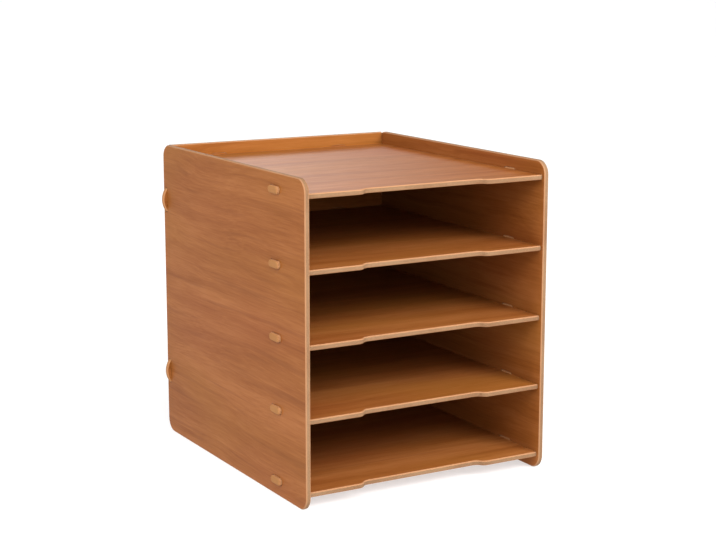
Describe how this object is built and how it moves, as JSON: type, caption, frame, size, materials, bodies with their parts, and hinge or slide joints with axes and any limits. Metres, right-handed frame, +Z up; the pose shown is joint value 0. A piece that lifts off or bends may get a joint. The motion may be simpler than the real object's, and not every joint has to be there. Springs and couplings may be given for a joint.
{
  "type": "letter tray stack",
  "caption": "Open-fronted wooden letter tray stack with a rimmed top tray, knock-down, held by tabs in slots.",
  "frame": {"origin": "on the ground, in the middle of the width and the depth", "axes": "+X to the right seen from the open front, +Y from the open front to the back board, +Z up"},
  "size_m": [0.285, 0.328, 0.32],
  "materials": {
    "wood_board": "satin"
  },
  "bodies": {
    "root": {"left_side": "wood_board", "right_side": "wood_board", "back_board": "wood_board", "bottom_shelf": "wood_board", "shelf_2": "wood_board", "shelf_3": "wood_board", "shelf_4": "wood_board", "top_tray": "wood_board"}
  },
  "joints": []
}
